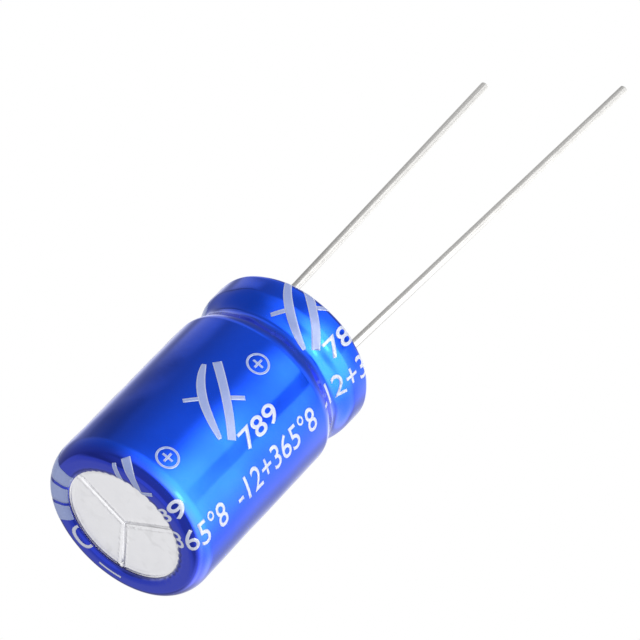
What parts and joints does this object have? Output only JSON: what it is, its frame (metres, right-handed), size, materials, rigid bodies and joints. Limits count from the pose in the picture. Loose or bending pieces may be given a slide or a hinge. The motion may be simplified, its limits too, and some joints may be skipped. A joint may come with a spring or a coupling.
{
  "type": "electrolytic capacitor",
  "caption": "Radial electrolytic capacitor: a wound foil element in a sleeved aluminium can with a scored vent, closed by a rubber bung that its wire leads pass through; stores charge.",
  "frame": {"origin": "middle of the vent end, in the plane that the standing ring rests on", "axes": "+Z along the body from the vent end to the leads, +X towards the positive, longer lead"},
  "size_m": [0.016, 0.016, 0.0712],
  "materials": {
    "sleeve_film": "gloss shrink film, printed with a pale polarity stripe",
    "can_aluminium": "satin drawn sheet",
    "bung_rubber": "matt moulded",
    "separator_paper": "soaked tissue paper",
    "anode_foil": "etched, matt",
    "cathode_foil": "lightly etched",
    "winding_tape": "clear tape",
    "terminal_aluminium": "pressed, satin",
    "tinned_wire": "bright tin plate"
  },
  "bodies": {
    "root": {"sleeve": "sleeve_film", "can": "can_aluminium", "bung": "bung_rubber", "inner_paper": "separator_paper", "anode_foil": "anode_foil", "outer_paper": "separator_paper", "cathode_foil": "cathode_foil", "winding_tape": "winding_tape", "anode_tab": "terminal_aluminium", "cathode_tab": "terminal_aluminium", "anode_lead": "tinned_wire", "cathode_lead": "tinned_wire"}
  },
  "joints": []
}
